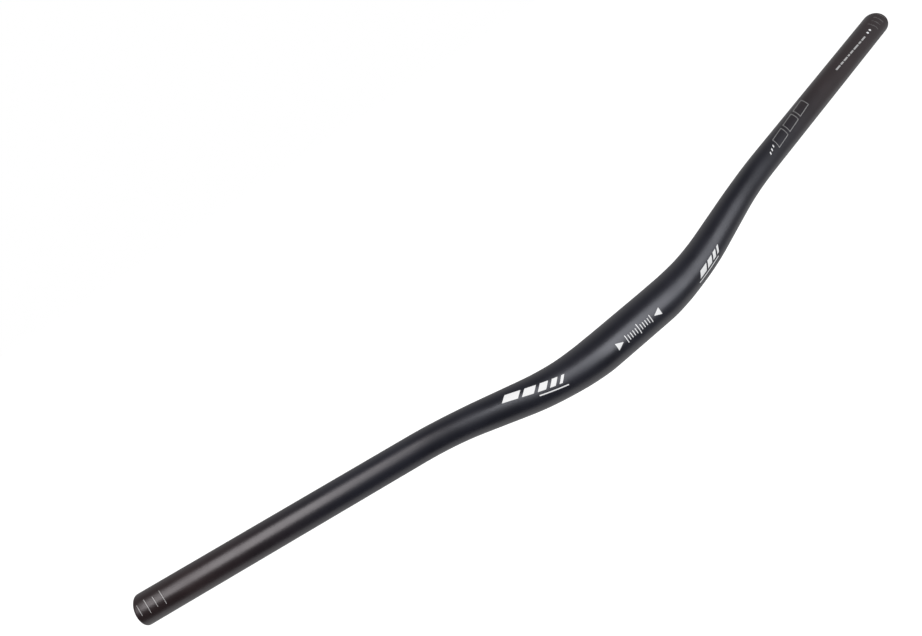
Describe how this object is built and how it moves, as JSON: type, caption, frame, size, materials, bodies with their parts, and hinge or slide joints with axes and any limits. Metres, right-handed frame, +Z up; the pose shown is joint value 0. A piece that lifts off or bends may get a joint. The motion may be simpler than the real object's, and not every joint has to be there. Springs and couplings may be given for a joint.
{
  "type": "mountain bike riser handlebar",
  "caption": "Wide riser handlebar for a mountain bike: a butted aluminium tube, thick where the stem clamps it, bent up and back to slim straight grips.",
  "frame": {"origin": "middle of the clamp zone, on the tube's axis", "axes": "+X along the clamp axis towards the rider's left, +Y back towards the rider, +Z up as mounted"},
  "size_m": [0.7834, 0.0764, 0.0723],
  "materials": {
    "anodised_tube": "matte black anodised, bead blasted"
  },
  "bodies": {
    "root": {"handlebar": "anodised_tube"}
  },
  "joints": []
}
